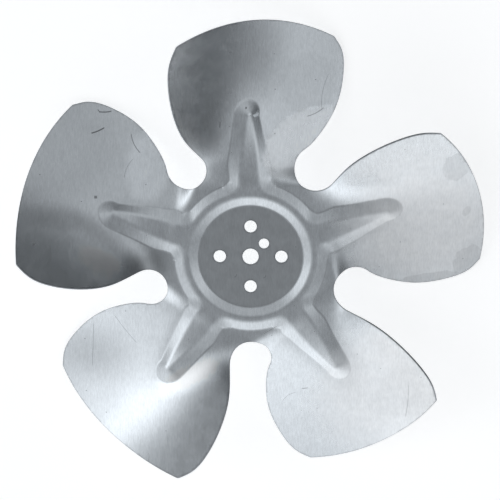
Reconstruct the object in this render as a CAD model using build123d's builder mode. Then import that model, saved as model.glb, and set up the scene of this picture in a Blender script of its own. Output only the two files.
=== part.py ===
from build123d import *

import os
from math import atan2, cos, cosh, log, radians, sin, tan, tanh

# Five-bladed axial fan impeller, pressed from one sheet of aluminium.
# Millimetres. The axis is Z and the air side of the blades faces +Z. The origin is the
# centre of the hub's flat face. One blade is drawn pointing along +Y, then repeated.

# Overall
fan_diameter = 200.0
blade_count = 5
sheet = 0.8  # thickness of the aluminium

# Flat hub face and its holes
hub_face_radius = 22.2
shaft_hole = 6.8
bolt_hole = 5.2
bolt_circle = 26.0
bolt_count = 4
locating_hole = 4.3
locating_radius = 8.0
locating_angle = 45.0

# Raised ring round the hub face
ring_height = 1.4
ring_crest_radius = 26.0  # inner end of the level crest
ring_crest_width = 2.2
ring_foot_radius = 32.3
ring_bend = 1.2  # bend radius at both ends of the crest

# Raised arm that stiffens the root of each blade
arm_height = 1.45
arm_height_at_ring = 1.2
arm_offset = -0.6  # the arm's line beside the blade's middle line
arm_start = 27.0  # from the axis, inside the ring's crest
arm_nose_reach = 58.8  # from the axis to the centre of the round nose
arm_top_at_ring = 4.3  # half width of the arm's level top
arm_top_at_nose = 1.9
arm_lean = 1.35  # the arm's tilt, as a share of the tilt of the blade under it
arm_flank_angle = 15.5
arm_bend = 1.0

# Gaps between the blades
gap_floor_radius = 37.4
gap_radius = 8.7
gap_turn_falling = 67.0  # degrees that the round floor turns before each edge leaves it
gap_turn_rising = 90.0

# Blade outline, seen along the axis
corner_rounding = 1.2
rising_side = 33.0  # furthest reach of each side from the blade's middle line
falling_side = 38.8
tip_crown = -2.0  # where the tip reaches furthest
# Each side runs through these shares of its furthest reach and of the blade's length
falling_shape = ((0.77, 0.309), (0.91, 0.436), (1.0, 0.649), (0.967, 0.808), (0.897, 0.874))
rising_shape = ((0.897, 0.897), (0.985, 0.788), (1.0, 0.669), (0.936, 0.472), (0.797, 0.303))
falling_corner_run = (-0.6, 1)  # direction of each side at its corner with the tip
rising_corner_run = (-0.5, -1)

# Blade form. The falling side drops towards -Z, the rising side curls up towards +Z, and
# the middle between them carries the arm. Each side turns out of the middle along a bend.
root_fold = 4.2  # length over which the hub plate bends into the blade
rising_slope = 0.99
rising_start = 11.6  # from the root line, where the slope has half its value
rising_twist = 6.5  # length over which it sets in
rising_growth = 0.001  # slope gained for each millimetre further out
rising_bend_place = -13.8  # across the blade
rising_bend_at_root = 1.0  # half widths of this bend
rising_bend_at_tip = 23.8
middle_slope = 0.4
middle_start = 26.6
middle_twist = 22.8
middle_fall = 6.0  # drop of the middle line towards the tip, in step with the reach
middle_curl = -1.9  # drop that grows with the square of the reach
falling_slope = 0.38
falling_twist = 7.9
falling_bend_at_root = 9.9  # places of this bend across the blade
falling_bend_at_tip = -2.0
falling_bend_width = 3.5
tip_dip = 0.65  # hollow of the tip's section
dip_half_chord = 22.0

# Derived sizes
tip_radius = fan_diameter / 2
sector = 360 / blade_count
root_line = gap_floor_radius * cos(radians(sector / 2))
blade_length = tip_radius - root_line
block_depth = 40.0


def ramp(value):
    """Smooth step from 0 to 1."""
    value = min(max(value, 0.0), 1.0)
    return value * value * (3 - 2 * value)


def bend_height(x, place, width):
    """Height of a sheet that falls one in one up to place and climbs one in one beyond it."""
    return width * (log(cosh((x - place) / width)) - log(cosh(place / width)))


def set_in(out, start, twist):
    """Share from 0 to 1 that has half its value at start."""
    return (1 + tanh((out - start) / twist)) / 2


def blade_height(x, y):
    """Height of the blade's upper skin over the hub plane."""
    out = max(y - root_line, 0.0)
    share = out / blade_length
    rising = rising_slope * set_in(out, rising_start, rising_twist) + rising_growth * out
    middle = middle_slope * set_in(out, middle_start, middle_twist)
    falling = falling_slope * tanh(out / falling_twist)
    rising_width = rising_bend_at_root + (rising_bend_at_tip - rising_bend_at_root) * share
    rising_bend = x - bend_height(x, rising_bend_place, rising_width)
    falling_place = falling_bend_at_root + (falling_bend_at_tip - falling_bend_at_root) * share
    falling_bend = x + bend_height(x, falling_place, falling_bend_width)
    sides = (rising - middle) * rising_bend / 2 + (falling - middle) * falling_bend / 2
    drop = middle_fall * share + middle_curl * share**2
    dip = tip_dip * share**4 * (1 - (x / dip_half_chord) ** 2)
    return -ramp(out / root_fold) * (middle * x + sides + drop) - dip


def skin_height(x, y, depth):
    """Height of the surface that lies the given depth inside the sheet."""
    step = 0.001
    across = (blade_height(x + step, y) - blade_height(x - step, y)) / (2 * step)
    along = (blade_height(x, y + step) - blade_height(x, y)) / step
    return blade_height(x, y) - depth * (1 + across**2 + along**2) ** 0.5


def blade_block(depth):
    """Solid under the blade's skin, from the root line out past the tip."""
    margin = 6.0
    across, along = 30, 34
    crowding = 1.3  # draws the rows together near the root
    left = -rising_side - margin
    right = falling_side + margin
    reach = blade_length + margin
    grid = []
    for j in range(along + 1):
        y = root_line + reach * (j / along) ** crowding
        row = []
        for i in range(across + 1):
            x = left + (right - left) * i / across
            row.append((x, y, skin_height(x, y, depth)))
        grid.append(row)
    skin = Face.make_surface_from_array_of_points(grid)
    with BuildPart() as block:
        extrude(to_extrude=skin, amount=block_depth, dir=(0, 0, -1))
    return block.part


def hub_block(depth):
    """Solid under the skin of the hub: a plate with one side for each blade, and the ring."""
    wall = atan2(ring_height, ring_crest_radius - hub_face_radius)
    flank = atan2(ring_height, ring_foot_radius - ring_crest_radius - ring_crest_width)
    inward = depth * tan(wall / 2)
    outward = -depth * tan(flank / 2)
    bury = 1.0
    with BuildPart() as block:
        with BuildSketch(Plane.XY.offset(-depth)):
            RegularPolygon(root_line, blade_count, major_radius=False, rotation=90 - sector / 2)
        extrude(amount=-block_depth)
        with BuildSketch(Plane.XZ) as ring:
            with BuildLine():
                Polyline(
                    (hub_face_radius + inward - bury, -depth - bury),
                    (hub_face_radius + inward, -depth),
                    (ring_crest_radius + inward, ring_height - depth),
                    (ring_crest_radius + ring_crest_width + outward, ring_height - depth),
                    (ring_foot_radius + outward, -depth),
                    (ring_foot_radius + outward + bury / tan(flank), -depth - bury),
                    close=True,
                )
            make_face()
            fillet(ring.vertices().group_by(Axis.Y)[-1], ring_bend - depth)
        revolve(axis=Axis.Z)
    return block.part


def arm_plane(y):
    """Plane across the arm at y, its local Y square to the blade's skin."""
    step = 0.05
    fall = (blade_height(arm_offset - step, y) - blade_height(arm_offset + step, y)) / (2 * step)
    pitch = atan2(arm_lean * fall, 1)
    origin = (arm_offset, y, blade_height(arm_offset, y))
    return Plane(origin=origin, x_dir=(cos(pitch), 0, -sin(pitch)), z_dir=(0, -1, 0))


def arm_outline(top_half_width, height, depth, left_side):
    """Section of the arm: level top, rounded shoulders and flanks that run below the skin."""
    flank = radians(arm_flank_angle)
    bury = 1.5
    top = height - depth
    half = top_half_width - depth * tan(flank / 2)
    foot = half + (top + depth + bury) / tan(flank)
    left_foot = -foot if left_side else 0
    left_top = -half if left_side else 0
    with BuildSketch() as outline:
        with BuildLine():
            Polyline(
                (left_foot, -depth - bury),
                (left_top, top),
                (half, top),
                (foot, -depth - bury),
                close=True,
            )
        make_face()
        shoulders = outline.vertices().group_by(Axis.Y)[-1]
        if not left_side:
            shoulders = shoulders.sort_by(Axis.X)[-1:]
        fillet(shoulders, arm_bend - depth / 2)
    return outline.sketch


def arm_block(depth):
    """Solid under the skin of one arm, with its round nose."""
    run = arm_nose_reach - arm_start
    narrowing = arm_top_at_nose - arm_top_at_ring
    places = (0.0, 0.25, 0.55, 1.0)
    with BuildPart() as block:
        for place in places:
            top_half_width = arm_top_at_ring + narrowing * place
            height = arm_height if place else arm_height_at_ring
            with BuildSketch(arm_plane(arm_start + run * place)):
                add(arm_outline(top_half_width, height, depth, True))
        loft()
        nose = arm_plane(arm_nose_reach)
        with BuildSketch(nose):
            add(arm_outline(arm_top_at_nose, arm_height, depth, False))
        revolve(axis=Axis(nose.origin, nose.y_dir), revolution_arc=180)
    return block.part


def planform():
    """Outline of the whole impeller seen along the axis."""
    gap_reach = gap_floor_radius + gap_radius
    half_sector = sector / 2
    floor_falling = Vector(gap_floor_radius, 0).rotate(Axis.Z, 90 - half_sector)
    floor_rising = Vector(gap_floor_radius, 0).rotate(Axis.Z, 90 + half_sector)
    gap_falling = Vector(gap_reach, 0).rotate(Axis.Z, 90 - half_sector)
    gap_rising = Vector(gap_reach, 0).rotate(Axis.Z, 90 + half_sector)
    leave_falling = 90 - half_sector + gap_turn_falling
    leave_rising = 90 + half_sector - gap_turn_rising
    spot = Vector(gap_radius, 0)
    falling_edge = [Vector(falling_side * a, root_line + blade_length * b) for a, b in falling_shape]
    rising_edge = [Vector(-rising_side * a, root_line + blade_length * b) for a, b in rising_shape]
    falling_start = gap_falling + spot.rotate(Axis.Z, leave_falling)
    rising_end = gap_rising + spot.rotate(Axis.Z, leave_rising)
    with BuildSketch() as outline:
        with BuildLine():
            Line((0, 0), floor_falling)
            RadiusArc(floor_falling, falling_start, gap_radius)
            Spline(
                falling_start,
                *falling_edge,
                tangents=[Vector(1, 0).rotate(Axis.Z, leave_falling - 90), falling_corner_run],
            )
            ThreePointArc(falling_edge[-1], (tip_crown, tip_radius), rising_edge[0])
            Spline(
                *rising_edge,
                rising_end,
                tangents=[rising_corner_run, Vector(1, 0).rotate(Axis.Z, leave_rising - 90)],
            )
            RadiusArc(rising_end, floor_rising, gap_radius)
            Line(floor_rising, (0, 0))
        make_face()
        corners = outline.vertices().sort_by_distance(falling_edge[-1])[:1]
        corners += outline.vertices().sort_by_distance(rising_edge[0])[:1]
        fillet(corners, corner_rounding)
    return outline.sketch


def pressed_block(depth):
    """Everything under the skin of the pressing, the given depth inside the sheet."""
    far = 2 * tip_radius
    with BuildPart() as form:
        add(blade_block(depth))
        add(arm_block(depth))
        with BuildSketch():
            with BuildLine():
                Polyline(
                    (0, 0),
                    (far * sin(radians(sector / 2)), far * cos(radians(sector / 2))),
                    (-far * sin(radians(sector / 2)), far * cos(radians(sector / 2))),
                    close=True,
                )
            make_face()
        extrude(amount=2 * block_depth, both=True, mode=Mode.INTERSECT)
    with BuildPart() as block:
        add(hub_block(depth))
        with PolarLocations(0, blade_count):
            add(form.part)
    return block.part


outer_block = pressed_block(0)
inner_block = pressed_block(sheet)
blade_outline = planform()

with BuildPart() as impeller:
    add(outer_block)
    add(inner_block, mode=Mode.SUBTRACT)
    with BuildSketch():
        with PolarLocations(0, blade_count):
            add(blade_outline)
    extrude(amount=0.75 * block_depth, both=True, mode=Mode.INTERSECT)
    with BuildSketch():
        Circle(shaft_hole / 2)
        with PolarLocations(bolt_circle / 2, bolt_count):
            Circle(bolt_hole / 2)
        with PolarLocations(locating_radius, 1, start_angle=locating_angle):
            Circle(locating_hole / 2)
    extrude(amount=2 * sheet, both=True, mode=Mode.SUBTRACT)

impeller.part.label = "impeller"
os.makedirs("parts", exist_ok=True)
export_step(impeller.part, "parts/impeller.step")
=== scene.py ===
from math import cos, pi, radians, sin, tan

import bpy
import numpy as np
from bpy.props import FloatProperty, FloatVectorProperty, IntProperty, PointerProperty
from bpy.types import Operator, Panel, PropertyGroup
from mathutils import Matrix, Vector
from mathutils.geometry import delaunay_2d_cdt


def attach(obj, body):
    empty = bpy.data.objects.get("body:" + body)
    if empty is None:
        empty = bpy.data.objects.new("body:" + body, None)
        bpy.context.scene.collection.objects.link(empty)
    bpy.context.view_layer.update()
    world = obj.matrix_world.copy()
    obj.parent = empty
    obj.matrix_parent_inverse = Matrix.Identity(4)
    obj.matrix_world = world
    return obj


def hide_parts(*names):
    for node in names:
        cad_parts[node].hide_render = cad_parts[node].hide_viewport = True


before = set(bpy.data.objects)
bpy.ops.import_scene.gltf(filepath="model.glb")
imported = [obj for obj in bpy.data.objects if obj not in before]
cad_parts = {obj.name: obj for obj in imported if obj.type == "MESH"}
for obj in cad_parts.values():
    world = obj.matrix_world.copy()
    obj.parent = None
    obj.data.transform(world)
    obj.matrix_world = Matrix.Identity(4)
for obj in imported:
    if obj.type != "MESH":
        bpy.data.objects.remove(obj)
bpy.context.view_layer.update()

bl_info = {
    "name": "Axial Fan Impeller",
    "version": (1, 0, 0),
    "blender": (4, 5, 0),
    "location": "3D View > Sidebar > Impeller",
    "description": "Builds a five-bladed fan impeller pressed from one aluminium sheet, and its stage",
    "category": "Add Mesh",
}

# The axis is Z, the air side faces +Z, and the origin is the centre of the hub's flat face.
# Each blade is worked out pointing along +Y and then turned into place. Metres throughout.


def length(name, description, default, **more):
    """A property that holds a length."""
    return FloatProperty(
        name=name, description=description, default=default, unit="LENGTH", subtype="DISTANCE",
        precision=5, **more,
    )


def number(name, description, default, **more):
    """A property that holds a plain number."""
    return FloatProperty(name=name, description=description, default=default, **more)


def angle(name, description, degrees):
    """A property that holds an angle."""
    return FloatProperty(
        name=name, description=description, default=radians(degrees), unit="ROTATION", subtype="ANGLE"
    )


def tint(name, description, default):
    """A property that holds a colour."""
    return FloatVectorProperty(
        name=name, description=description, default=default, subtype="COLOR", size=3, min=0, max=1
    )


class ImpellerSizes(PropertyGroup):
    """Sizes of the pressed sheet."""

    tip_radius: length("Tip radius", "Half the swept diameter", 0.100)
    blades: IntProperty(name="Blades", description="Number of blades", default=5, min=2, max=9)
    sheet: length("Sheet", "Thickness of the aluminium", 0.0008)
    edge_rounding: length("Edge rounding", "Softening of the punched edges", 0.00012)
    net: length("Net", "Spacing of the mesh on the smooth parts", 0.0012, min=0.0006)
    fine_net: length("Fine net", "Spacing of the mesh at the bends", 0.00042, min=0.0003)

    face_radius: length("Hub face", "Radius of the flat hub face", 0.0222)
    shaft_hole: length("Shaft hole", "Diameter of the hole for the shaft", 0.0068)
    bolt_hole: length("Bolt hole", "Diameter of each bolt hole", 0.0052)
    bolt_circle: length("Bolt circle", "Diameter of the circle of bolt holes", 0.026)
    bolts: IntProperty(name="Bolts", description="Number of bolt holes", default=4, min=2, max=8)
    locating_hole: length("Locating hole", "Diameter of the locating hole", 0.0043)
    locating_radius: length("Locating radius", "Distance of the locating hole from the axis", 0.008)
    locating_angle: angle("Locating angle", "Direction of the locating hole", 45)

    ring_height: length("Ring height", "Height of the raised ring", 0.0014)
    crest_radius: length("Crest radius", "Inner end of the ring's level crest", 0.026)
    crest_width: length("Crest width", "Width of the ring's level crest", 0.0022)
    ring_foot: length("Ring foot", "Radius at the outer foot of the ring", 0.0323)
    ring_bend: length("Ring bend", "Bend radius beside the ring's crest", 0.0012)

    arm_height: length("Arm height", "Height of each raised arm", 0.00145)
    arm_start: length("Arm start", "Distance from the axis where the arm leaves the ring", 0.027)
    arm_offset: length("Arm offset", "Place of the arm beside the blade's middle line", -0.0006)
    nose_reach: length("Nose reach", "Distance from the axis to the centre of the arm's nose", 0.0602)
    arm_top_root: length("Arm top at ring", "Half width of the arm's level top at the ring", 0.0042)
    arm_top_nose: length("Arm top at nose", "Half width of the arm's level top at the nose", 0.0007)
    arm_taper: number("Arm taper", "How late the arm narrows towards its nose", 2.0)
    arm_lean: number("Arm lean", "Tilt of the arm as a share of the blade's tilt under it", 1.35)
    arm_settle: length("Arm settle", "Length over which the arm takes up its tilt", 0.0150)
    arm_flank: angle("Arm flank", "Steepness of the arm's flanks", 16.4)
    arm_bend: length("Arm bend", "Bend radius along the arm's shoulders", 0.0010)
    junction: length("Junction", "Blend between the flanks of ring and arm", 0.0012)
    crease: length("Crease", "Blend at the foot of ring and arms", 0.0002)

    gap_floor: length("Gap floor", "Distance from the axis to the floor of each gap", 0.0374)
    gap_radius: length("Gap radius", "Radius of the rounded gap", 0.0087)
    corner_rounding: length("Corner rounding", "Radius of the two corners at each tip", 0.0012)


class BladeForm(PropertyGroup):
    """How far the two sides of each blade are bent out of the hub's plane."""

    root_fold: length("Root fold", "Length over which the hub plate bends into the blade", 0.0085)
    root_lead: length("Root lead", "How far inside the root line that bend starts", 0.0022)
    rising_slope: number("Rising slope", "Slope of the side that curls up", 0.99)
    rising_start: length("Rising start", "Where the rising side has half its slope", 0.0116)
    rising_twist: length("Rising twist", "Length over which the rising slope sets in", 0.0065)
    rising_growth: number("Rising growth", "Slope gained for each metre further out", 1.0)
    rising_bend: length("Rising bend", "Place of the rising side's bend", -0.0138)
    rising_bend_root: length("Rising bend at root", "Half width of that bend at the root", 0.0010)
    rising_bend_tip: length("Rising bend at tip", "Half width of that bend at the tip", 0.0238)
    middle_slope: number("Middle slope", "Slope of the middle between the two bends", 0.40)
    middle_start: length("Middle start", "Where the middle has half its slope", 0.0266)
    middle_twist: length("Middle twist", "Length over which the middle's slope sets in", 0.0228)
    middle_fall: length("Middle fall", "Drop of the middle line by the tip", 0.0060)
    middle_curl: length("Middle curl", "Part of that drop that grows towards the tip", -0.0019)
    falling_slope: number("Falling slope", "Slope of the falling side", 0.38)
    falling_twist: length("Falling twist", "Length over which the falling slope sets in", 0.0079)
    falling_bend_root: length("Falling bend at root", "Place of the falling bend at the root", 0.0099)
    falling_bend_tip: length("Falling bend at tip", "Place of the falling bend at the tip", -0.0020)
    falling_bend: length("Falling bend", "Half width of the falling side's bend", 0.0035)
    tip_dip: length("Tip dip", "Hollow of the section at the tip", 0.00065)
    dip_half_chord: length("Dip half chord", "Half width over which the tip dips", 0.0220)
    falling_side: length("Falling side", "Furthest reach of the falling edge", 0.0388)
    rising_side: length("Rising side", "Furthest reach of the rising edge", 0.0330)
    tip_crown: length("Tip crown", "Where the tip reaches furthest", -0.002)


# Shares of the side's reach and of the blade's length that each edge runs through.
FALLING_EDGE = ((0.77, 0.309), (0.91, 0.436), (1.0, 0.649), (0.967, 0.808), (0.897, 0.874))
RISING_EDGE = ((0.897, 0.897), (0.985, 0.788), (1.0, 0.669), (0.936, 0.472), (0.797, 0.303))


class AluminiumLook(PropertyGroup):
    """Finish of the rolled sheet."""

    metal: tint("Metal", "Colour of the clean aluminium", (0.735, 0.765, 0.79))
    # Pale colour that lies as painted highlight over the right and lower right blades, and over one patch
    # on the top blade.
    pale_patch_and_highlight: tint("Haze", "Colour of the pale tinge", (0.87, 0.875, 0.88))
    edge: tint("Edge", "Colour of the punched edge", (0.36, 0.38, 0.40))
    grime: tint("Grime", "Colour of the dark specks and scratches", (0.06, 0.06, 0.065))
    # Painted shade: the flat hub face is painted darker than the rest of the same sheet.
    face_painted_shade: number("Face tone", "Brightness of the hub face beside the rest", 0.68, min=0, max=1)
    roughness: number("Roughness", "Roughness of the clean metal", 0.24, min=0, max=1)
    grain_length: length("Grain length", "Length of the rolling marks", 0.0024)
    grain_width: length("Grain width", "Width of the rolling marks", 0.0006)
    grain_depth: number("Grain depth", "How much the rolling marks change the colour", 0.32, min=0, max=1)
    grain_bump: number("Grain bump", "Height of the rolling marks in hundredths of a mm", 1.5, min=0)
    # Painted shade: the inner bends at the foot of the ring and arms are painted darker.
    foot_painted_shade: number("Foot dark", "How much darker the inner bends are", 0.16, min=0, max=1)
    # Painted highlight: the outer bends along the shoulders of the ring and arms are painted brighter.
    shoulder_painted_highlight: number("Shoulder bright", "How much brighter the highlit outer bends are", 0.05, min=0)
    rim_dark: number("Rim dark", "How much darker the sheet is along its rim", 0.35, min=0, max=1)


class StageLook(PropertyGroup):
    """Floor, light and camera."""

    floor: tint("Floor", "Colour of the floor", (0.80, 0.80, 0.80))
    floor_drop: length("Floor drop", "Depth of the floor under the hub face", 0.0206)
    floor_reach: length("Floor reach", "Half width of the floor", 6.0)
    floor_lift: number("Floor lift", "Glow that keeps the floor white where it is seen", 0.6, min=0)
    ambient: tint("Ambient", "Colour of the studio away from its lamps", (0.06, 0.065, 0.07))
    camera_distance: length("Camera distance", "Distance of the camera from the hub", 1.355)
    camera_tilt: angle("Camera tilt", "Tilt of the view off the axis", 13.85)
    camera_turn: angle("Camera turn", "Turn of the view to the side", 1.54)
    lens: number("Lens", "Focal length in millimetres", 231.1)
    shift_x: number("Shift X", "Sideways shift of the lens", -0.0011)
    shift_y: number("Shift Y", "Upward shift of the lens", 0.0131)


def ramp(value):
    """Smooth step from 0 to 1, with level ends."""
    value = np.clip(value, 0, 1)
    return value**3 * (value * (value * 6 - 15) + 10)


def bend_height(x, place, width):
    """Height of a sheet that falls one in one up to place and climbs one in one beyond it."""
    a, b = (x - place) / width, -place / width
    return width * (np.logaddexp(a, -a) - np.logaddexp(b, -b))


def set_in(out, start, twist):
    """Share from 0 to 1 that has half its value at start."""
    return (1 + np.tanh((out - start) / twist)) / 2


def soft_lower(a, b, blend):
    """The lower of two heights, with the corner between them rounded over blend."""
    near = np.maximum(blend - np.abs(a - b), 0)
    return np.minimum(a, b) - near**2 / (4 * blend)


def soft_higher(a, b, blend):
    """The higher of two heights, with the corner between them rounded over blend."""
    near = np.maximum(blend - np.abs(a - b), 0)
    return np.maximum(a, b) + near**2 / (4 * blend)


class Pressing:
    """Heights of the sheet's upper skin, for one blade and its share of the hub."""

    def __init__(self, sizes, form):
        self.s, self.f = sizes, form
        self.sector = 2 * pi / sizes.blades
        self.root_line = sizes.gap_floor * cos(self.sector / 2)
        self.blade_length = sizes.tip_radius - self.root_line

    def blade(self, x, y):
        """Blade skin, flat inside the root line."""
        f = self.f
        out = np.maximum(y - self.root_line, 0)
        share = out / self.blade_length
        rising = f.rising_slope * set_in(out, f.rising_start, f.rising_twist) + f.rising_growth * out
        middle = f.middle_slope * set_in(out, f.middle_start, f.middle_twist)
        falling = f.falling_slope * np.tanh(out / f.falling_twist)
        width = f.rising_bend_root + (f.rising_bend_tip - f.rising_bend_root) * share
        rising_bend = x - bend_height(x, f.rising_bend, width)
        place = f.falling_bend_root + (f.falling_bend_tip - f.falling_bend_root) * share
        falling_bend = x + bend_height(x, place, f.falling_bend)
        sides = (rising - middle) * rising_bend / 2 + (falling - middle) * falling_bend / 2
        drop = f.middle_fall * share + f.middle_curl * share**2
        dip = f.tip_dip * share**4 * (1 - (x / f.dip_half_chord) ** 2)
        fold = ramp((y - self.root_line + f.root_lead) / (f.root_fold + f.root_lead))
        return -fold * (middle * x + sides + drop) - dip

    def ring_flank(self, r):
        """Outer flank of the ring, which dives out of sight beyond its foot."""
        s = self.s
        flank = (s.ring_foot - r) * s.ring_height / (s.ring_foot - s.crest_radius - s.crest_width)
        return flank - 300 * np.maximum(r - s.ring_foot - 0.0003, 0) ** 2

    def arm(self, x, y):
        """Flank and level top of the raised arm with its round nose, square to the blade's skin."""
        s = self.s
        step = 0.00005
        line = np.clip(y, s.arm_start, s.nose_reach)
        centre = self.blade(s.arm_offset + 0 * line, line)
        fall = self.blade(s.arm_offset - step + 0 * line, line)
        fall = (fall - self.blade(s.arm_offset + step + 0 * line, line)) / (2 * step)
        pitch = np.arctan(s.arm_lean * fall) * ramp((line - s.arm_start) / s.arm_settle)
        share = (line - s.arm_start) / (s.nose_reach - s.arm_start)
        half = s.arm_top_nose + (s.arm_top_root - s.arm_top_nose) * (1 - share**s.arm_taper)
        level = s.ring_height + (s.arm_height - s.ring_height) * ramp(share * 4)
        beyond = np.maximum(y - line, 0)
        across = x - s.arm_offset
        rise = 0 * across
        for _ in range(6):
            side = np.hypot(across * np.cos(pitch) - rise * np.sin(pitch), beyond)
            flank = level - (side - half) * tan(s.arm_flank)
            rise = (flank - across * np.sin(pitch)) / np.cos(pitch)
        aside = np.maximum(np.abs(across) - 0.011, 0)
        top = centre + (level - across * np.sin(pitch)) / np.cos(pitch)
        return centre + rise - 3 * aside, top

    def height(self, x, y):
        """Height of the whole upper skin."""
        s = self.s
        r = np.hypot(x, y)
        flank, top = self.arm(x, y)
        raised = soft_higher(flank, self.ring_flank(r), s.junction)
        raised = soft_lower(raised, top, s.arm_bend * 0.3)
        wall = (r - s.face_radius) * s.ring_height / (s.crest_radius - s.face_radius)
        raised = soft_lower(raised, wall, s.ring_bend * 0.25)
        return soft_higher(self.blade(x, y), raised, s.crease)

    def painted_light_and_rim(self, x, y):
        """Shares from 0 to 1 of the hub face and the foot line, which are painted as shade, and of the
        shoulders, which are painted as highlight.
        """
        s = self.s
        r = np.hypot(x, y)
        flank, top = self.arm(x, y)
        flank = soft_higher(flank, self.ring_flank(r), s.junction)
        foot = np.exp(-(((flank - self.blade(x, y)) / 0.00009) ** 2))
        shoulder = np.exp(-(((flank - top) / 0.00025) ** 2)) * (r > s.crest_radius)
        face = ramp((s.face_radius - r) / 0.0004 + 0.5)
        return face, foot * (r > s.crest_radius), shoulder

    def normal(self, x, y):
        """Unit normal of the upper skin."""
        step = 0.00004
        across = (self.height(x + step, y) - self.height(x - step, y)) / (2 * step)
        along = (self.height(x, y + step) - self.height(x, y - step)) / (2 * step)
        normals = np.stack([-across, -along, np.ones_like(across)], -1)
        return normals / np.linalg.norm(normals, axis=-1, keepdims=True)


def turn(points, by):
    """Turns plane points about the axis."""
    points = np.asarray(points, float)
    c, s = cos(by), sin(by)
    return points @ np.array([[c, s], [-s, c]])


def arc(centre, radius, start, end, spacing):
    """Points along an arc, both ends included."""
    count = max(2, int(abs(end - start) * radius / spacing) + 1)
    at = np.linspace(start, end, count + 1)
    return np.stack([centre[0] + radius * np.cos(at), centre[1] + radius * np.sin(at)], -1)


def smooth_through(points, leave, arrive, spacing):
    """Smooth curve through points with the given directions at its two ends."""
    points = np.asarray(points, float)
    chord = np.linalg.norm(np.diff(points, axis=0), axis=1)
    count = len(points)
    matrix = np.zeros((count, count))
    known = np.zeros((count, 2))
    matrix[0, 0] = matrix[-1, -1] = 1
    known[0] = np.asarray(leave, float) / np.linalg.norm(leave)
    known[-1] = np.asarray(arrive, float) / np.linalg.norm(arrive)
    for i in range(1, count - 1):
        before, after = chord[i - 1], chord[i]
        matrix[i, i - 1 : i + 2] = after, 2 * (before + after), before
        known[i] = 3 * (
            after / before * (points[i] - points[i - 1]) + before / after * (points[i + 1] - points[i])
        )
    tangents = np.linalg.solve(matrix, known)
    curve = [points[:1]]
    for i in range(count - 1):
        steps = max(1, round(chord[i] / spacing))
        t = (np.arange(steps) + 1)[:, None] / steps
        span = chord[i]
        curve.append(
            (2 * t**3 - 3 * t**2 + 1) * points[i]
            + (t**3 - 2 * t**2 + t) * span * tangents[i]
            + (3 * t**2 - 2 * t**3) * points[i + 1]
            + (t**3 - t**2) * span * tangents[i + 1]
        )
    return np.concatenate(curve)


def arc_through(first, middle, last, spacing):
    """Points along the arc through three points."""
    matrix = 2 * np.array([middle - first, last - first])
    centre = np.linalg.solve(matrix, [middle @ middle - first @ first, last @ last - first @ first])
    radius = np.linalg.norm(first - centre)
    start = np.arctan2(*(first - centre)[::-1])
    end = np.arctan2(*(last - centre)[::-1])
    return arc(centre, radius, start, end, spacing)


def round_corner(points, corner, radius, spacing):
    """Replaces a sharp corner of a line of points by an arc."""
    at = int(np.argmin(np.linalg.norm(points - corner, axis=1)))
    before, after = points[at - 3] - corner, points[at + 3] - corner
    before, after = before / np.linalg.norm(before), after / np.linalg.norm(after)
    half = np.arccos(np.clip(before @ after, -1, 1)) / 2
    reach = radius / np.tan(half)
    middle = before + after
    centre = corner + middle / np.linalg.norm(middle) * radius / np.sin(half)
    first, last = corner + before * reach - centre, corner + after * reach - centre
    start, end = np.arctan2(first[1], first[0]), np.arctan2(last[1], last[0])
    end = start + (end - start + pi) % (2 * pi) - pi
    keep = np.linalg.norm(points - corner, axis=1) > reach
    rounded = arc(centre, radius, start, end, spacing)
    return np.concatenate([points[:at][keep[:at]], rounded, points[at:][keep[at:]]])


def blade_outline(sizes, form, press, spacing):
    """Edge of one blade from gap floor to gap floor, seen along the axis."""
    half = press.sector / 2
    gap = sizes.gap_floor + sizes.gap_radius
    falling_gap = turn([gap, 0], pi / 2 - half)
    rising_gap = turn([gap, 0], pi / 2 + half)
    leave_falling = pi / 2 - half + radians(67)
    leave_rising = pi / 2 + half - radians(90)
    scale = np.array([form.falling_side, press.blade_length])
    falling = np.array(FALLING_EDGE) * scale + [0, press.root_line]
    scale = np.array([-form.rising_side, press.blade_length])
    rising = np.array(RISING_EDGE) * scale + [0, press.root_line]
    first_arc = arc(falling_gap, sizes.gap_radius, -pi / 2 - half, leave_falling - 2 * pi, spacing)
    last_arc = arc(rising_gap, sizes.gap_radius, leave_rising, -pi / 2 + half, spacing)
    crown = np.array([form.tip_crown, sizes.tip_radius])
    parts = [
        first_arc,
        smooth_through(
            [first_arc[-1], *falling],
            (cos(leave_falling - pi / 2), sin(leave_falling - pi / 2)), (-0.6, 1), spacing,
        )[1:],
        arc_through(falling[-1], crown, rising[0], spacing)[1:],
        smooth_through(
            [*rising, last_arc[0]],
            (-0.5, -1), (cos(leave_rising - pi / 2), sin(leave_rising - pi / 2)), spacing,
        )[1:],
        last_arc[1:],
    ]
    edge = np.concatenate(parts)
    for corner in (falling[-1], rising[0]):
        edge = round_corner(edge, corner, sizes.corner_rounding, spacing * 0.5)
    return edge


def inside(points, loop):
    """Which points lie inside a closed loop."""
    x, y = points[:, 0], points[:, 1]
    result = np.zeros(len(points), bool)
    for a, b in zip(loop, np.roll(loop, -1, axis=0)):
        crosses = (a[1] > y) != (b[1] > y)
        at = a[0] + (y - a[1]) * (b[0] - a[0]) / (b[1] - a[1] + 1e-30)
        result ^= crosses & (x < at)
    return result


def clear_of(points, loop, distance):
    """Which points keep the given distance from every edge of a closed loop."""
    keep = np.ones(len(points), bool)
    for a, b in zip(loop, np.roll(loop, -1, axis=0)):
        edge = b - a
        along = np.clip(((points - a) @ edge) / max(edge @ edge, 1e-30), 0, 1)
        gap = np.linalg.norm(points - a - along[:, None] * edge, axis=1)
        keep &= gap > distance
    return keep


def honeycomb(low, high, spacing):
    """Points of a net of even triangles over a rectangle."""
    rows = int((high[1] - low[1]) / (spacing * 0.866)) + 1
    columns = int((high[0] - low[0]) / spacing) + 1
    j, i = np.mgrid[0:rows, 0:columns]
    x = low[0] + (i + 0.5 * (j % 2)) * spacing
    y = low[1] + j * spacing * 0.866
    return np.stack([x.ravel(), y.ravel()], -1)


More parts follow.
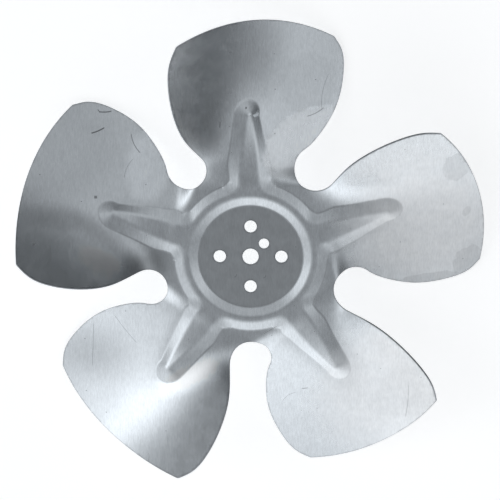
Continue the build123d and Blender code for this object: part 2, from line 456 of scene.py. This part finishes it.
def fill(loops, points):
    """Triangles between closed loops that also use the given points."""
    verts, edges = [], []
    for loop in loops:
        base = len(verts)
        verts.extend(Vector(p) for p in loop)
        edges.extend((base + i, base + (i + 1) % len(loop)) for i in range(len(loop)))
    verts.extend(Vector(p) for p in points)
    out = delaunay_2d_cdt(verts, edges, [], 2, 1e-9)
    return np.array([(v.x, v.y) for v in out[0]]), np.array(out[2])


def sector_net(sizes, form, press):
    """Flat net of one blade with its share of the hub, outside the flat face."""
    inner = sizes.face_radius - 0.0007
    half = press.sector / 2
    edge = blade_outline(sizes, form, press, sizes.net * 0.6)
    seam = np.arange(inner, sizes.gap_floor, sizes.net * 0.5)
    seam = np.append(seam, sizes.gap_floor)
    right = np.stack([seam, 0 * seam], -1)
    floor = arc((0, 0), inner, pi / 2 + half, pi / 2 - half, sizes.net * 0.6)
    loop = np.concatenate(
        [turn(right, pi / 2 - half)[:-1], edge[:-1], turn(right, pi / 2 + half)[::-1][:-1], floor[:-1]]
    )
    low, high = loop.min(0), loop.max(0)
    coarse = honeycomb(low, high, sizes.net)
    fine = honeycomb(low, high, sizes.fine_net)
    fine = fine[inside(fine, loop)]
    step = sizes.fine_net / 2
    n0 = press.normal(fine[:, 0] - step, fine[:, 1])
    n1 = press.normal(fine[:, 0] + step, fine[:, 1])
    n2 = press.normal(fine[:, 0], fine[:, 1] - step)
    n3 = press.normal(fine[:, 0], fine[:, 1] + step)
    bend = np.linalg.norm(n1 - n0, axis=1) + np.linalg.norm(n3 - n2, axis=1)
    fine = fine[bend > 0.02]
    coarse = coarse[inside(coarse, loop)]
    taken = set(map(tuple, np.floor(fine / (sizes.net * 0.6)).astype(int)))
    keep = [tuple(c) not in taken for c in np.floor(coarse / (sizes.net * 0.6)).astype(int)]
    points = np.concatenate([coarse[keep], fine])
    points = points[clear_of(points, loop, sizes.fine_net * 0.7)]
    return fill([loop], points)


def face_net(sizes, press):
    """Flat net of the hub face round its holes."""
    inner = sizes.face_radius - 0.0007
    rim = []
    for k in range(sizes.blades):
        start = pi / 2 - press.sector / 2 + k * press.sector
        rim.append(arc((0, 0), inner, start + press.sector, start, sizes.net * 0.6)[::-1][:-1])
    rim = np.concatenate(rim)
    holes = [arc((0, 0), sizes.shaft_hole / 2, 2 * pi, 0, 0.0004)[:-1]]
    for k in range(sizes.bolts):
        centre = turn([sizes.bolt_circle / 2, 0], 2 * pi * k / sizes.bolts)
        holes.append(arc(centre, sizes.bolt_hole / 2, 2 * pi, 0, 0.0004)[:-1])
    centre = turn([sizes.locating_radius, 0], sizes.locating_angle)
    holes.append(arc(centre, sizes.locating_hole / 2, 2 * pi, 0, 0.0004)[:-1])
    points = honeycomb(rim.min(0), rim.max(0), sizes.net)
    points = points[inside(points, rim) & clear_of(points, rim, sizes.net * 0.5)]
    for hole in holes:
        points = points[~inside(points, hole) & clear_of(points, hole, sizes.net * 0.4)]
    flat, faces = fill([rim, *holes], points)
    middle = flat[faces].mean(1)
    for hole in holes:
        keep = ~inside(middle, hole)
        middle, faces = middle[keep], faces[keep]
    return flat, faces


def upper_skin(sizes, form, press):
    """Points, normals, shares for painted shade and painted highlight, and triangles of the whole upper
    skin.
    """
    flat, faces = sector_net(sizes, form, press)
    x, y = flat[:, 0], flat[:, 1]
    height, normal = press.height(x, y), press.normal(x, y)
    points, normals, triangles = [], [], []
    painted_light_and_rim = [np.stack(press.painted_light_and_rim(x, y), -1)] * sizes.blades
    base = 0
    for k in range(sizes.blades):
        by = k * press.sector
        points.append(np.column_stack([turn(flat, by), height]))
        normals.append(np.column_stack([turn(normal[:, :2], by), normal[:, 2]]))
        triangles.append(faces + base)
        base += len(flat)
    flat, faces = face_net(sizes, press)
    points.append(np.column_stack([flat, np.zeros(len(flat))]))
    normals.append(np.tile([0.0, 0.0, 1.0], (len(flat), 1)))
    painted_light_and_rim.append(np.tile([1.0, 0.0, 0.0], (len(flat), 1)))
    triangles.append(faces + base)
    points, normals, painted_light_and_rim = np.concatenate(points), np.concatenate(normals), np.concatenate(painted_light_and_rim)
    triangles = np.concatenate(triangles)
    key = np.round(points[:, :2] / 2e-6).astype(np.int64)
    _, first, index = np.unique(key, axis=0, return_index=True, return_inverse=True)
    triangles = index.ravel()[triangles]
    whole = (triangles[:, 0] != triangles[:, 1]) & (triangles[:, 1] != triangles[:, 2])
    whole &= triangles[:, 0] != triangles[:, 2]
    return points[first], normals[first], painted_light_and_rim[first], triangles[whole]


def sheet_mesh(name, sizes, form):
    """Mesh of the whole sheet: both skins and the punched edges between them."""
    press = Pressing(sizes, form)
    points, normals, painted_light_and_rim, faces = upper_skin(sizes, form, press)
    corner = points[faces]
    turned = np.cross(corner[:, 1] - corner[:, 0], corner[:, 2] - corner[:, 0])[:, 2] < 0
    faces[turned] = faces[turned][:, ::-1]
    edges = np.concatenate([faces[:, [0, 1]], faces[:, [1, 2]], faces[:, [2, 0]]])
    forward = set(map(tuple, edges))
    rim = np.array([e for e in edges if (e[1], e[0]) not in forward])
    outward = np.zeros_like(points)
    run = points[rim[:, 1]] - points[rim[:, 0]]
    side = np.cross(run, normals[rim[:, 0]])
    np.add.at(outward, rim[:, 0], side)
    np.add.at(outward, rim[:, 1], side)
    edge = np.unique(rim)
    lie = outward[edge] - normals[edge] * np.sum(outward[edge] * normals[edge], -1, keepdims=True)
    lie /= np.linalg.norm(lie, axis=-1, keepdims=True)
    n, c, t = normals[edge], sizes.edge_rounding, sizes.sheet
    count, total = len(edge), len(points)
    row = np.full(total, -1)
    row[edge] = np.arange(count)
    at = points[edge]
    upper, lower = points.copy(), points - normals * t
    upper[edge] -= lie * c
    lower[edge] -= lie * c
    verts = np.concatenate([upper, lower, at - n * c, at - n * (t - c)])
    shade = np.concatenate([normals, -normals, lie, lie])
    a, b = rim[:, 0], rim[:, 1]
    ra, rb = row[a], row[b]
    high, deep = 2 * total, 2 * total + count
    walls = [
        np.stack([a, ra + high, rb + high, b], -1),
        np.stack([ra + high, ra + deep, rb + deep, rb + high], -1),
        np.stack([ra + deep, a + total, b + total, rb + deep], -1),
    ]
    polys = [*faces.tolist(), *(faces[:, ::-1] + total).tolist(), *np.concatenate(walls).tolist()]
    mesh = bpy.data.meshes.new(name)
    mesh.from_pydata(verts.tolist(), [], polys)
    mesh.polygons.foreach_set("use_smooth", np.ones(len(polys), bool))
    index = np.zeros(len(polys), np.int32)
    index[2 * len(faces) :] = 1
    mesh.polygons.foreach_set("material_index", index)
    mesh.validate()
    mesh.normals_split_custom_set_from_vertices(shade.tolist())
    near_rim = np.zeros(total)
    near_rim[edge] = 1
    painted_light_and_rim = np.column_stack([painted_light_and_rim, near_rim])
    rest = np.zeros((2 * count, 4))
    under = painted_light_and_rim * [0.0, 0.0, 0.0, 1.0]
    painted_light_and_rim = np.concatenate([painted_light_and_rim, under, rest])
    # The face and foot shares carry painted shade, the shoulder share painted highlight, and the rim share
    # marks the sheet's edge.
    for column, key in enumerate(("face", "foot", "shoulder", "rim")):
        layer = mesh.attributes.new(key, "FLOAT", "POINT")
        layer.data.foreach_set("value", np.ascontiguousarray(painted_light_and_rim[:, column], dtype=np.float32))
    return mesh


def node(tree, kind, **settings):
    """Adds a node and sets its own settings."""
    made = tree.nodes.new(kind)
    for key, value in settings.items():
        setattr(made, key, value)
    return made


class Wiring:
    """Short ways to add nodes to one tree and join them."""

    def __init__(self, tree):
        self.tree = tree

    def put(self, socket, value):
        """Joins a socket to a socket or sets its value."""
        if isinstance(value, bpy.types.NodeSocket):
            self.tree.links.new(value, socket)
        else:
            socket.default_value = value

    def fill(self, made, values):
        """Sets the first inputs of a node in order."""
        for socket, value in zip(made.inputs, values):
            self.put(socket, value)
        return made.outputs

    def math(self, operation, *values):
        """One sum on numbers."""
        return self.fill(node(self.tree, "ShaderNodeMath", operation=operation), values)[0]

    def vector(self, operation, *values):
        """One sum on vectors."""
        out = self.fill(node(self.tree, "ShaderNodeVectorMath", operation=operation), values)
        return out["Value"] if operation in ("LENGTH", "DOT_PRODUCT") else out[0]

    def between(self, value, low, high):
        """Smooth share from 0 at low to 1 at high."""
        made = node(self.tree, "ShaderNodeMapRange", interpolation_type="SMOOTHSTEP")
        return self.fill(made, (value, low, high))[0]

    def noise(self, place, detail=2.0):
        """Cloudy value from 0 to 1 with one cloud for each unit."""
        made = node(self.tree, "ShaderNodeTexNoise", noise_dimensions="2D")
        self.put(made.inputs["Vector"], place)
        made.inputs["Scale"].default_value = 1
        made.inputs["Detail"].default_value = detail
        return made.outputs["Fac"]

    def blend(self, share, first, second):
        """Mixes two colours."""
        made = node(self.tree, "ShaderNodeMix", data_type="RGBA")
        for index, value in ((0, share), (6, first), (7, second)):
            self.put(made.inputs[index], value)
        return made.outputs[2]

    def centred(self, share, reach):
        """A value near 1 that moves by reach as the share goes from 0 to 1."""
        return self.math("MULTIPLY_ADD", share, reach, 1 - reach / 2)

    def use(self, group, **values):
        """Places a node group with its own values."""
        made = node(self.tree, "ShaderNodeGroup", node_tree=bpy.data.node_groups[group])
        for key, value in values.items():
            self.put(made.inputs[key.replace("_", " ").capitalize()], value)
        return made.outputs


def node_group(name, inputs, outputs):
    """Starts a node group with named sockets."""
    tree = bpy.data.node_groups.new(name, "ShaderNodeTree")
    for label in inputs:
        vector = label in ("Place", "Centre")
        tree.interface.new_socket(
            name=label, in_out="INPUT", socket_type="NodeSocketVector" if vector else "NodeSocketFloat"
        )
    for label in outputs:
        tree.interface.new_socket(name=label, in_out="OUTPUT", socket_type="NodeSocketFloat")
    given, result = node(tree, "NodeGroupInput"), node(tree, "NodeGroupOutput")
    return Wiring(tree), given.outputs, result.inputs


def combine(wire, x, y):
    """A vector from two numbers, with 1 as the third."""
    return wire.fill(node(wire.tree, "ShaderNodeCombineXYZ"), (x, y, 1.0))[0]


def laid_out(wire, given):
    """Place seen from a mark's centre, with the mark's length along X."""
    from_centre = wire.vector("SUBTRACT", given["Place"], given["Centre"])
    spun = node(wire.tree, "ShaderNodeVectorRotate", rotation_type="Z_AXIS", invert=True)
    wire.put(spun.inputs["Vector"], from_centre)
    wire.put(spun.inputs["Angle"], given["Turn"])
    return spun.outputs[0]


def build_groups():
    """Effects of the sheet's finish, each built once."""
    wire, given, result = node_group("rolled_grain", ["Place", "Length", "Width"], ["Streak"])
    fine = wire.vector("DIVIDE", given["Place"], combine(wire, given["Width"], given["Length"]))
    wide = wire.vector("DIVIDE", fine, (3.0, 3.0, 1.0))
    streak = wire.math("MULTIPLY", wire.noise(fine, 2.0), 0.7)
    wire.put(result["Streak"], wire.math("MULTIPLY_ADD", wire.noise(wide, 1.0), 0.3, streak))

    wire, given, result = node_group("cloudy_oxide", ["Place", "Size"], ["Cloud"])
    size = combine(wire, given["Size"], given["Size"])
    cloud = wire.noise(wire.vector("DIVIDE", given["Place"], size), 5.0)
    wire.put(result["Cloud"], wire.between(cloud, 0.25, 0.75))

    wire, given, result = node_group(
        "soft_patch",
        ["Place", "Centre", "Turn", "Half length", "Half width", "Softness", "Ragged", "Ragged size"],
        ["Mask"],
    )
    half_sizes = combine(wire, given["Half length"], given["Half width"])
    inside_it = wire.vector("DIVIDE", laid_out(wire, given), half_sizes)
    reach = wire.vector("LENGTH", wire.vector("MULTIPLY", inside_it, (1.0, 1.0, 0.0)))
    torn = combine(wire, given["Ragged size"], given["Ragged size"])
    torn = wire.noise(wire.vector("DIVIDE", given["Place"], torn), 3.0)
    torn = wire.math("MULTIPLY", wire.math("SUBTRACT", torn, 0.5), given["Ragged"])
    reach = wire.math("ADD", reach, torn)
    outer = wire.math("ADD", 1.0, given["Softness"])
    inner = wire.math("SUBTRACT", 1.0, given["Softness"])
    wire.put(result["Mask"], wire.between(reach, outer, inner))

    wire, given, result = node_group(
        "scratch", ["Place", "Centre", "Turn", "Half length", "Half width", "Bow"], ["Mask"]
    )
    split = wire.fill(node(wire.tree, "ShaderNodeSeparateXYZ"), (laid_out(wire, given),))
    share = wire.math("ABSOLUTE", wire.math("DIVIDE", split[0], given["Half length"]))
    bowed = wire.math("MULTIPLY", wire.math("MULTIPLY", share, share), given["Bow"])
    aside = wire.math("ABSOLUTE", wire.math("SUBTRACT", split[1], bowed))
    aside = wire.math("DIVIDE", aside, given["Half width"])
    line = wire.math("MULTIPLY", wire.between(aside, 1.5, 0.4), wire.between(share, 1.0, 0.8))
    wire.put(result["Mask"], line)

    wire, given, result = node_group("specks", ["Place", "Spacing", "Radius", "Share"], ["Mask"])
    cells = node(wire.tree, "ShaderNodeTexVoronoi", voronoi_dimensions="2D")
    where = combine(wire, given["Spacing"], given["Spacing"])
    wire.put(cells.inputs["Vector"], wire.vector("DIVIDE", given["Place"], where))
    cells.inputs["Scale"].default_value = 1
    pick = wire.fill(node(wire.tree, "ShaderNodeSeparateXYZ"), (cells.outputs["Color"],))[0]
    size = wire.math("DIVIDE", given["Radius"], given["Spacing"])
    outer, inner = (wire.math("MULTIPLY", size, share) for share in (1.4, 0.6))
    dot = wire.between(cells.outputs["Distance"], outer, inner)
    wire.put(result["Mask"], wire.math("MULTIPLY", dot, wire.math("LESS_THAN", pick, given["Share"])))


# Patches of darker or brighter metal: name, centre in mm, turn in degrees, half length and half width in
# mm, softness, raggedness and how bright the metal is there. The soft darker rows on the top blade's side
# and middle, along the left blade's valley and at its root, and on the lower left blade are painted shade;
# the soft brighter rows on the left blade's lobe and near its notch, and the inner and outer ones on the
# lower left blade, are painted highlight.
STAINS_AND_PAINTED_LIGHT = (
    ("painted_shade_top_side", (-24, 64), 80, 17, 11, 0.8, 0.1, 0.66),
    ("painted_shade_top_middle", (3, 83), 75, 16, 9, 0.8, 0.1, 0.78),
    ("top_cloud", (24, 72), 80, 13, 12, 0.15, 0.5, 0.93),
    ("top_bright_zone", (22, 48), 35, 18, 12.0, 0.08, 0.5, 1.18),
    ("top_corner", (-20, 93), 30, 10, 6, 0.8, 0.1, 1.12),
    ("left_mottled", (-77, 44), 60, 24, 18, 0.5, 0.1, 0.88),
    ("painted_highlight_left_notch", (-43, 37), 75, 15, 9.5, 0.25, 0.4, 1.20),
    ("painted_shade_left_valley_outside", (-83, 17), -8, 14, 3.6, 0.9, 0.1, 0.74),
    ("painted_shade_left_valley_inside", (-60, 7), -36, 15, 3.2, 0.9, 0.1, 0.74),
    ("painted_highlight_left_lobe", (-61, 0), -18, 15, 6.5, 0.8, 0.1, 1.45),
    ("painted_shade_left_root", (-44, -4), 0, 8, 6, 0.8, 0.1, 0.48),
    ("painted_shade_lower_left", (-70, -46), 0, 15, 10, 0.8, 0.1, 0.72),
    ("painted_highlight_lower_left_outer", (-47, -69), 45, 20, 8, 0.8, 0.1, 1.16),
    ("painted_highlight_lower_left_inner", (-24, -51), 28, 13, 4.5, 0.8, 0.1, 1.5),
    ("lower_right_band", (62, -57), 60, 17, 8, 0.20, 0.7, 0.95),
    ("lower_right_tip", (74, -59), 40, 12, 5, 0.15, 0.8, 0.95),
    ("right_outer_patch", (86, 40), 70, 7, 5.5, 0.06, 0.7, 0.88),
    ("right_lower_patch", (92, -5), 60, 8, 5.0, 0.06, 0.8, 0.86),
    ("right_edge_patch", (77, -13), 5, 14, 2.6, 0.10, 0.9, 0.86),
    ("right_small_patch", (91, 18), 60, 2.4, 1.5, 0.15, 0.8, 0.90),
)

# Places where the metal turns pale and less metallic: name, centre, turn, half length and half width,
# softness, raggedness and strength. The wide rows over the right and lower right blades are painted
# highlight.
PALE_PATCHES_AND_HIGHLIGHT = (
    ("painted_highlight_right_blade", (74, 14), 10, 30, 28, 0.5, 0.3, 0.85),
    ("painted_highlight_lower_right_blade", (63, -54), 40, 36, 26, 0.4, 0.3, 0.70),
    ("top_bright_zone", (22, 48), 35, 18, 12.0, 0.08, 0.5, 0.30),
)

# Scratches: name, centre, turn, half length, half width and bow in mm, and how dark they are.
SCRATCHES = (
    ("top_right", (27.2, 59.5), 24, 4.2, 0.18, 0.6, 0.45),
    ("top_short", (-12.7, 57.2), 85, 1.5, 0.20, 0.0, 0.55),
    ("top_long", (30.1, 68.7), 78, 8.0, 0.15, -1.2, 0.20),
    ("nose_speck", (-1.9, 63.7), 80, 0.5, 0.30, 0.0, 0.60),
    ("left_upper", (-62.1, 58.3), 2, 2.9, 0.22, 0.3, 0.70),
    ("left_upper_tick", (-64.7, 58.7), -50, 0.9, 0.20, 0.0, 0.55),
    ("left_lower", (-65.0, 50.7), 22, 3.2, 0.26, 0.3, 0.70),
    ("left_border", (-49.6, 45.5), -62, 4.6, 0.18, 0.9, 0.50),
    ("left_border_end", (-52.4, 36.3), 64, 4.6, 0.15, -0.9, 0.25),
    ("left_spot", (-65.5, 24.4), 0, 0.7, 0.55, 0.0, 0.55),
    ("left_ring_mark", (-90.6, 7.3), 60, 0.6, 0.35, 0.0, 0.35),
    ("lower_left_line", (-68.2, -42.9), 88, 10.0, 0.15, 0.0, 0.25),
    ("lower_left_tip", (-43.6, -88.7), 70, 3.4, 0.18, 1.0, 0.25),
    ("lower_left_fine", (-54.1, -35.0), -48, 8.0, 0.13, 0.4, 0.25),
    ("lower_right_upright", (66.9, -60.6), 87, 9.0, 0.15, 0.5, 0.30),
    ("lower_right_tick", (23.1, -60.1), 12, 1.4, 0.20, 0.0, 0.45),
    ("lower_right_curl", (15.8, -64.2), 40, 4.0, 0.14, -1.0, 0.25),
    ("face_mark_left", (-6.1, -8.5), 55, 0.9, 0.16, 0.3, 0.40),
    ("face_mark_right", (6.1, -8.9), 50, 0.9, 0.16, 0.3, 0.40),
    ("hub_line", (8.3, -32.1), 32, 3.6, 0.22, 0.0, 0.25),
)


def mm(*sizes):
    """Millimetres as metres."""
    return [size * 0.001 for size in sizes]


def new_material(name):
    """A material with wiring, its shader and the place on the flat sheet."""
    material = bpy.data.materials.new(name)
    material.use_nodes = True
    wire = Wiring(material.node_tree)
    where = node(wire.tree, "ShaderNodeTexCoord").outputs["Object"]
    place = wire.vector("MULTIPLY", where, (1.0, 1.0, 0.0))
    shader = wire.tree.nodes["Principled BSDF"]
    return material, wire, shader.inputs, place


def measured(wire, name):
    """A number stored with the mesh."""
    return node(wire.tree, "ShaderNodeAttribute", attribute_name=name).outputs["Fac"]


def raised_bump(wire, sockets, height, distance):
    """Joins a height in shares of a distance to the shader's normal."""
    bump = node(wire.tree, "ShaderNodeBump")
    bump.inputs["Strength"].default_value = 1
    bump.inputs["Distance"].default_value = distance
    wire.put(bump.inputs["Height"], height)
    wire.put(sockets["Normal"], bump.outputs["Normal"])


def patch_mask(wire, place, mark, ragged_size):
    """Mask of one patch, from its centre, turn, half sizes, softness and raggedness."""
    centre, turned, half, width, soft, ragged = mark
    return wire.use(
        "soft_patch", place=place, centre=mm(*centre, 0), turn=radians(turned), half_length=half * 0.001,
        half_width=width * 0.001, softness=soft, ragged=ragged, ragged_size=ragged_size,
    )[0]


def scaled(wire, tone, share, reach):
    """A tone made brighter by reach, or darker where reach is below 0, as the share goes to 1."""
    return wire.math("MULTIPLY", tone, wire.math("MULTIPLY_ADD", share, reach, 1.0))


def rolled_material(look):
    """Rolled aluminium with its grain, patches, scratches and a darker rim, with painted shade and painted
    highlight at its bends, on the hub face and in some soft patches.
    """
    material, wire, sockets, place = new_material("rolled_aluminium")
    streak = wire.use("rolled_grain", place=place, length=look.grain_length, width=look.grain_width)[0]
    large = wire.use("cloudy_oxide", place=place, size=0.022)[0]
    small = wire.use("cloudy_oxide", place=place, size=0.0045)[0]
    tone = wire.math("MULTIPLY", wire.centred(large, 0.03), wire.centred(small, 0.05))
    tone = wire.math("MULTIPLY", tone, wire.centred(streak, look.grain_depth))
    # Patches of darker or brighter metal, some of them painted shade and painted highlight, scale the
    # tone.
    for _, *mark, bright in STAINS_AND_PAINTED_LIGHT:
        tone = scaled(wire, tone, patch_mask(wire, place, mark, 0.005), bright - 1)
    pale_patch_and_highlight = None
    # Pale, less metallic patches; over the right and lower right blades the paler colour is painted
    # highlight.
    for _, *mark, strength in PALE_PATCHES_AND_HIGHLIGHT:
        mask = wire.math("MULTIPLY", patch_mask(wire, place, mark, 0.006), strength)
        pale_patch_and_highlight = wire.math("MAXIMUM", pale_patch_and_highlight, mask) if pale_patch_and_highlight else mask
    pale_patch_and_highlight = wire.math("MULTIPLY", pale_patch_and_highlight, wire.centred(small, 0.2))
    marks = wire.use("specks", place=place, spacing=0.009, radius=0.00022, share=0.16)[0]
    marks = wire.math("MULTIPLY", marks, 0.5)
    for _, centre, turned, half, width, bow, dark in SCRATCHES:
        mask = wire.use(
            "scratch", place=place, centre=mm(*centre, 0), turn=radians(turned),
            half_length=half * 0.001, half_width=width * 0.001, bow=bow * 0.001,
        )[0]
        marks = wire.math("MAXIMUM", marks, wire.math("MULTIPLY", mask, dark))

    face = wire.between(measured(wire, "face"), 0.0, 1.0)
    foot, shoulder, rim = (measured(wire, key) for key in ("foot", "shoulder", "rim"))
    # Painted shade: the flat hub face is painted darker.
    tone = scaled(wire, tone, face, look.face_painted_shade - 1)
    # Painted shade: the foot line of the ring and arms is painted darker.
    tone = scaled(wire, tone, foot, -look.foot_painted_shade)
    # Painted highlight: the shoulders of the ring and arms are painted brighter.
    tone = scaled(wire, tone, shoulder, look.shoulder_painted_highlight)
    tone = scaled(wire, tone, wire.math("POWER", rim, 2.0), -look.rim_dark)
    colour = wire.blend(pale_patch_and_highlight, (*look.metal, 1.0), (*look.pale_patch_and_highlight, 1.0))
    colour = wire.vector("SCALE", colour)
    wire.put(colour.node.inputs["Scale"], tone)
    wire.put(sockets["Base Color"], wire.blend(marks, colour, (*look.grime, 1.0)))
    wire.put(sockets["Metallic"], wire.math("MULTIPLY_ADD", pale_patch_and_highlight, -0.30, 1.0))
    rough = wire.math("MULTIPLY_ADD", pale_patch_and_highlight, 0.10, look.roughness)
    rough = wire.math("MULTIPLY_ADD", small, 0.03, rough)
    rough = wire.math("MULTIPLY_ADD", face, 0.10, rough)
    wire.put(sockets["Roughness"], wire.math("MULTIPLY_ADD", marks, 0.3, rough))
    height = wire.math("MULTIPLY_ADD", large, 0.5, wire.math("MULTIPLY", streak, look.grain_bump))
    raised_bump(wire, sockets, wire.math("MULTIPLY_ADD", marks, -0.8, height), 0.00001)
    return material


def edge_material(look):
    """The punched edge, dark and cloudy with specks."""
    material, wire, sockets, place = new_material("punched_edge")
    cloud = wire.use("cloudy_oxide", place=place, size=0.0015)[0]
    specks = wire.use("specks", place=place, spacing=0.004, radius=0.0003, share=0.3)[0]
    torn = wire.math("MULTIPLY", wire.centred(cloud, 0.35), wire.math("MULTIPLY_ADD", specks, -0.3, 1.0))
    colour = wire.vector("SCALE", tuple(look.edge))
    wire.put(colour.node.inputs["Scale"], torn)
    wire.put(sockets["Base Color"], colour)
    sockets["Metallic"].default_value = 1
    wire.put(sockets["Roughness"], wire.math("MULTIPLY_ADD", cloud, 0.2, 0.30))
    raised_bump(wire, sockets, cloud, 0.00004)
    return material


class IMPELLER_OT_sheet(Operator):
    """Builds the pressed sheet with its five blades"""

    bl_idname = "impeller.sheet"
    bl_label = "Pressed sheet"
    bl_options = {"REGISTER", "UNDO"}

    def execute(self, context):
        scene = context.scene
        mesh = sheet_mesh("pressed_sheet", scene.impeller_sizes, scene.impeller_form)
        piece = bpy.data.objects.new("pressed_sheet", mesh)
        scene.collection.objects.link(piece)
        build_groups()
        mesh.materials.append(rolled_material(scene.impeller_look))
        mesh.materials.append(edge_material(scene.impeller_look))
        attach(piece, "root")
        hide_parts("impeller")
        return {"FINISHED"}


# Lights of the studio: name, direction towards it, tightness and level, all in one daylight
# colour.
STUDIO_PANELS = (
    ("left_box", (-1.0, 0.2, 0.9), 20, 1.2),
    ("front_box", (0.1, -1.0, 0.3), 4, 0.8),
    ("low_reflector", (-1.0, -1.0, 0.0), 3, 0.85),
    ("back_box", (0.0, 0.6, 0.9), 10, 0.45),
    ("right_box", (0.6, 0.1, 0.8), 20, 0.65),
)


DAYLIGHT = (1.0, 1.03, 1.06)


def studio_world(look):
    """Soft studio light that comes from every side and is stronger towards its panels."""
    world = bpy.data.worlds.new("studio")
    world.use_nodes = True
    wire = Wiring(world.node_tree)
    direction = node(wire.tree, "ShaderNodeTexCoord").outputs["Generated"]
    total = (*look.ambient,)
    for name, towards, tightness, level in STUDIO_PANELS:
        facing = wire.vector("DOT_PRODUCT", direction, Vector(towards).normalized())
        facing.node.label = name
        glow = wire.math("EXPONENT", wire.math("MULTIPLY_ADD", facing, tightness, -tightness))
        light = wire.vector("SCALE", [level * share for share in DAYLIGHT])
        wire.put(light.node.inputs["Scale"], glow)
        total = wire.vector("ADD", total, light)
    wire.put(wire.tree.nodes["Background"].inputs["Color"], total)
    return world


def floor_material(look):
    """Matt floor that stays white to the eye, in reflections and through holes."""
    material = bpy.data.materials.new("floor")
    material.use_nodes = True
    wire = Wiring(material.node_tree)
    sockets = wire.tree.nodes["Principled BSDF"].inputs
    sockets["Base Color"].default_value = (*look.floor, 1)
    sockets["Roughness"].default_value = 1
    sockets["Specular IOR Level"].default_value = 0
    sockets["Emission Color"].default_value = (1, 1, 1, 1)
    ray = node(wire.tree, "ShaderNodeLightPath").outputs
    seen = wire.math("MAXIMUM", ray["Is Glossy Ray"], ray["Is Transmission Ray"])
    seen = wire.math("MAXIMUM", ray["Is Camera Ray"], seen)
    wire.put(sockets["Emission Strength"], wire.math("MULTIPLY", seen, look.floor_lift))
    return material


def stage_camera(look):
    """Camera that looks at the hub from a little to the front and side of its axis."""
    lens = bpy.data.cameras.new("camera")
    lens.lens = look.lens
    lens.shift_x = look.shift_x
    lens.shift_y = look.shift_y
    camera = bpy.data.objects.new("camera", lens)
    tilt = Matrix.Rotation(-look.camera_tilt, 4, "X")
    side = Matrix.Rotation(look.camera_turn, 4, "Y")
    camera.matrix_world = side @ tilt @ Matrix.Translation((0, 0, look.camera_distance))
    return camera


class IMPELLER_OT_stage(Operator):
    """Builds the floor, the studio light and the camera"""

    bl_idname = "impeller.stage"
    bl_label = "Stage"
    bl_options = {"REGISTER", "UNDO"}

    def execute(self, context):
        scene, look = context.scene, context.scene.impeller_stage
        mesh = bpy.data.meshes.new("floor")
        reach = look.floor_reach
        corners = ((-reach, -reach), (reach, -reach), (reach, reach), (-reach, reach))
        mesh.from_pydata([(x, y, -look.floor_drop) for x, y in corners], [], [(0, 1, 2, 3)])
        mesh.materials.append(floor_material(look))
        floor = bpy.data.objects.new("floor", mesh)
        scene.collection.objects.link(floor)
        scene.world = studio_world(look)
        scene.view_settings.view_transform = "Standard"
        scene.camera = stage_camera(look)
        scene.collection.objects.link(scene.camera)
        return {"FINISHED"}


class IMPELLER_PT_panel(Panel):
    """Sizes and finish of the impeller"""

    bl_idname = "IMPELLER_PT_panel"
    bl_label = "Fan impeller"
    bl_space_type = "VIEW_3D"
    bl_region_type = "UI"
    bl_category = "Impeller"

    def draw(self, context):
        scene = context.scene
        groups = (
            ("Sheet", scene.impeller_sizes),
            ("Blade form", scene.impeller_form),
            ("Aluminium", scene.impeller_look),
            ("Stage", scene.impeller_stage),
        )
        for title, group in groups:
            box = self.layout.box()
            box.label(text=title)
            for key in group.__annotations__:
                box.prop(group, key)
        self.layout.operator("impeller.sheet")
        self.layout.operator("impeller.stage")


CLASSES = (
    ImpellerSizes,
    BladeForm,
    AluminiumLook,
    StageLook,
    IMPELLER_OT_sheet,
    IMPELLER_OT_stage,
    IMPELLER_PT_panel,
)


def register():
    """Adds the classes and the settings to Blender."""
    for cls in CLASSES:
        bpy.utils.register_class(cls)
    bpy.types.Scene.impeller_sizes = PointerProperty(type=ImpellerSizes)
    bpy.types.Scene.impeller_form = PointerProperty(type=BladeForm)
    bpy.types.Scene.impeller_look = PointerProperty(type=AluminiumLook)
    bpy.types.Scene.impeller_stage = PointerProperty(type=StageLook)


def unregister():
    """Takes the classes and the settings out of Blender."""
    for key in ("impeller_stage", "impeller_look", "impeller_form", "impeller_sizes"):
        delattr(bpy.types.Scene, key)
    for cls in reversed(CLASSES):
        bpy.utils.unregister_class(cls)


def main():
    """Registers the add-on and builds everything."""
    register()
    bpy.ops.impeller.sheet()
    bpy.ops.impeller.stage()


if __name__ == "__main__":
    main()
